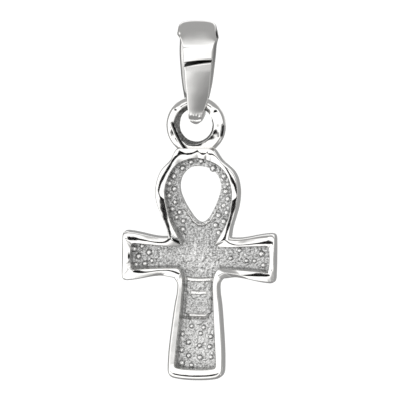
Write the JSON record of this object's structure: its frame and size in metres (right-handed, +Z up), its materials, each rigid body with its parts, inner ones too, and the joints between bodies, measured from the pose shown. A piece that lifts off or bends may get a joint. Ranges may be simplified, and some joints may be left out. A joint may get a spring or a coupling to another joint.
{
  "type": "ankh pendant",
  "caption": "Hollow-backed ankh charm with a teardrop loop, flared arms and stem and an eye, swinging from a folded strip bail.",
  "frame": {"origin": "inside top of the bail, where the chain lies and the pendant hangs", "axes": "+Z up along the hanging pendant, +X across the arms, -Y out of the hollow back"},
  "size_m": [0.0112, 0.0032, 0.0261],
  "materials": {
    "bail": "polished rhodium-plated sterling silver",
    "ankh": "polished rhodium-plated sterling silver, left as cast in the hollow"
  },
  "bodies": {
    "bail": {"bail": "bail"},
    "ankh": {"ankh": "ankh"}
  },
  "joints": [
    {"name": "swing", "type": "hinge", "parent": "bail", "child": "ankh", "pos_m": [0, 0, -0.00539], "axis": [1, 0, 0], "range_deg": [-135, 135]}
  ]
}
